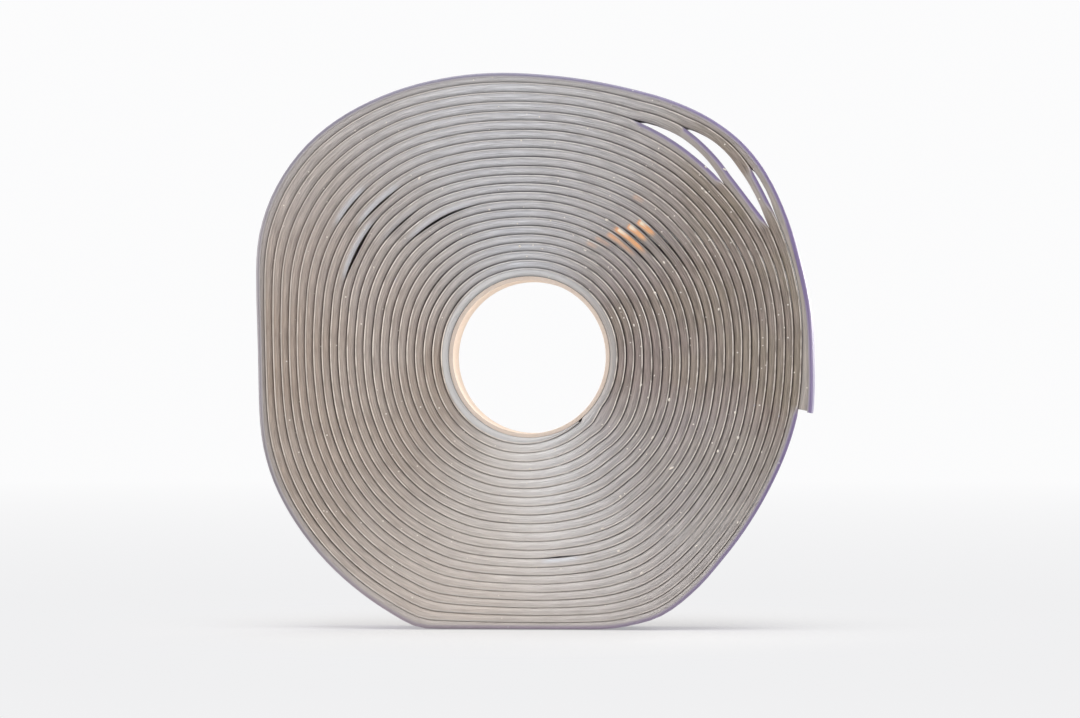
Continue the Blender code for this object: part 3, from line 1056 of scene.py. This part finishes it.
def add_tape(butyl, film):
    """The wound strip and film, and the free end that bends at its two joints."""
    seam = last_pass(SEAM_ANGLE)
    tab_seam = last_pass(TAB_SEAM_ANGLE)
    strip_end = last_pass(END_ANGLE)
    wound = tape_stations(0.0, seam)
    tail = tape_stations(seam, strip_end)
    film_tail = tape_stations(seam, tab_seam)
    film_tab = tape_stations(tab_seam, strip_end)
    tip = film_tab[-1]
    film_tab.append(tip._replace(angle=END_ANGLE - FILM_OVERHANG, length=tip.length + OVERHANG_RUN))

    strip_shades = ("groove", "stain", "gleam", "free")
    film_shades = ("rim", "open")
    strip = wind_tape("wound_strip", wound, strip_ring, strip_shades, butyl)
    liner = wind_tape("wound_film", wound, film_ring, film_shades, film)
    end_strip = wind_tape("end_strip", tail, strip_ring, strip_shades, butyl)
    end_film = wind_tape("end_film", film_tail, film_ring, film_shades, film)
    tab_film = wind_tape("tab_film", film_tab, film_ring, film_shades, film)

    tail_line = bend_line(TAIL_ROOT_ANGLE, TAIL_BEND)
    tab_line = bend_line(TAB_ROOT_ANGLE, TAB_BEND)
    for piece in (strip, liner):
        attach(piece, "roll")
    for piece in (end_strip, end_film):
        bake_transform(piece, "roll", "free_end", *tail_line)
    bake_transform(tab_film, "free_end", "peeled_film", *tab_line)
    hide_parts("butyl_winding")
    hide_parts("film_winding")
    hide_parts("butyl_tail")
    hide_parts("film_tail")
    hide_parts("film_tab")
    return seam


# Stage

FLOOR_SIZE = 12.0
FLOOR_DROP = 0.2 * MM
FLOOR_PAINT = ((0.64, 0.64, 0.645, 1), (0.67, 0.67, 0.67, 1))
FLOOR_ROUGHNESS = 0.9
SHADOW_REACH = (0.03, 0.18)
SHADOW_FADE = 0.4
FLOOR_REACH = (0.30, 2.50)
FLOOR_TONE = (0.87, 0.87, 0.88, 1.0)
BACKDROP = (0.97, 0.97, 0.975, 1.0)

ROOM_LIGHT = (1.0, 0.92, 0.86, 1.0)
ROOM_STRENGTH = 0.14

# Soft lamps above, close to the plane of the shown face, on both sides and behind: name, place, size,
# power, colour
LAMPS = (
    ("overhead", (0.0, -0.15, 0.9), 0.8, 9.4, (0.98, 0.99, 1.0)),
    ("left", (-1.2, -0.3, 0.25), 0.5, 13.2, (1.0, 0.93, 0.86)),
    ("right", (1.2, -0.25, 0.05), 0.4, 7.5, (1.0, 0.96, 0.93)),
    ("behind", (0.6, 1.1, 0.45), 0.6, 8.0, (1.0, 0.97, 0.95)),
)


def show_to_eye(tree, lit, shown, share=None):
    """A shader for the room's light, and another, by a share, for what the eye sees."""
    path = add_node(tree, "ShaderNodeLightPath")
    kinds = [path.outputs[name] for name in ("Is Camera Ray", "Is Glossy Ray", "Is Transmission Ray")]
    eye = calculate(tree, "MAXIMUM", calculate(tree, "MAXIMUM", *kinds[:2]), kinds[2])
    mix = add_node(tree, "ShaderNodeMixShader")
    feed(tree, mix.inputs[0], eye if share is None else calculate(tree, "MULTIPLY", share, eye))
    feed(tree, mix.inputs[1], lit.outputs[0])
    feed(tree, mix.inputs[2], shown.outputs[0])
    return mix.outputs[0]


def add_floor():
    """A plain pale floor under the roll, which fades to white away from it."""
    material, tree, shader = new_material("floor")
    place = object_place(tree)
    paint = mix_colours(tree, noise_at(tree, place, 3.0, 2.0), *FLOOR_PAINT)
    feed(tree, shader.inputs["Base Color"], paint)
    feed(tree, shader.inputs["Roughness"], FLOOR_ROUGHNESS)
    reach = vector_math(tree, "LENGTH", place)
    fade = map_range(tree, reach, SHADOW_REACH, (SHADOW_FADE, 1.0))
    fade.node.interpolation_type = "SMOOTHSTEP"
    tone = mix_colours(tree, map_range(tree, reach, FLOOR_REACH), FLOOR_TONE, BACKDROP)
    white = add_node(tree, "ShaderNodeEmission", Color=tone, Strength=1.0)
    feed(tree, tree.nodes["Material Output"].inputs["Surface"], show_to_eye(tree, shader, white, fade))
    bm = bmesh.new()
    bmesh.ops.create_grid(bm, x_segments=1, y_segments=1, size=FLOOR_SIZE / 2)
    bmesh.ops.translate(bm, verts=bm.verts, vec=(0.0, 0.0, -FLOOR_DROP))
    floor = finish_mesh("floor", bm, material)


def set_world():
    """A white room to the eye, which lights the roll only softly."""
    world = bpy.data.worlds.new("white_room")
    bpy.context.scene.world = world
    world.use_nodes = True
    tree = world.node_tree
    light = tree.nodes["Background"]
    feed(tree, light.inputs["Color"], ROOM_LIGHT)
    feed(tree, light.inputs["Strength"], ROOM_STRENGTH)
    white = add_node(tree, "ShaderNodeBackground", Color=BACKDROP, Strength=1.0)
    feed(tree, tree.nodes["World Output"].inputs["Surface"], show_to_eye(tree, light, white))


def add_lamp(name, place, size, power, colour):
    """A soft square lamp aimed at the roll."""
    lamp = bpy.data.lights.new(name, "AREA")
    lamp.shape = "SQUARE"
    lamp.size = size
    lamp.energy = power
    lamp.color = colour
    holder = bpy.data.objects.new(name, lamp)
    holder.location = place
    holder.rotation_euler = (AXIS - Vector(place)).to_track_quat("-Z", "Y").to_euler()
    bpy.context.collection.objects.link(holder)


# The camera, from the photograph's frame of 1080 by 718 pixels
PHOTO_WIDTH = 1080.0
PHOTO_HEIGHT = 718.0
HOLE_PIXEL = (529.1, 356.8)
FOCAL_PIXELS = 4000.0
CAMERA_DISTANCE = 1.4114
CAMERA_RIGHT = 0.101
CAMERA_BELOW = 0.014
SENSOR_WIDTH = 36.0
CLIP_START = 0.01


def add_camera():
    """The camera, a little to the right of the roll's hole and a little below it."""
    lens = bpy.data.cameras.new("camera")
    lens.sensor_fit = "HORIZONTAL"
    lens.sensor_width = SENSOR_WIDTH
    lens.lens = FOCAL_PIXELS / PHOTO_WIDTH * SENSOR_WIDTH
    lens.clip_start = CLIP_START
    camera = bpy.data.objects.new("camera", lens)
    camera.location = AXIS + Vector((CAMERA_RIGHT, -HALF_WIDTH - CAMERA_DISTANCE, -CAMERA_BELOW))
    right = (HOLE_PIXEL[0] - PHOTO_WIDTH / 2) / FOCAL_PIXELS
    down = (HOLE_PIXEL[1] - PHOTO_HEIGHT / 2) / FOCAL_PIXELS
    yaw = math.atan(CAMERA_RIGHT / CAMERA_DISTANCE) + math.atan(right)
    pitch = math.atan(CAMERA_BELOW / CAMERA_DISTANCE) + math.atan(down)
    camera.rotation_euler = (math.pi / 2 + pitch, 0.0, yaw)
    bpy.context.collection.objects.link(camera)
    bpy.context.scene.camera = camera


def main():
    """Build the roll, then the stage and the camera."""
    bpy.context.scene.view_settings.view_transform = "Standard"
    streaks = make_streaks()
    specks = make_specks()
    core = add_core(cardboard_material(specks))
    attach(core, "roll")
    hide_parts("core_tube")
    round_tone_and_shade = make_round_tone()
    seam = add_tape(butyl_material(streaks, specks, round_tone_and_shade), film_material(streaks, specks, round_tone_and_shade))
    flecks = add_flecks(fleck_material(), seam)
    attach(flecks, "roll")
    add_floor()
    set_world()
    for lamp in LAMPS:
        add_lamp(*lamp)
    add_camera()


main()
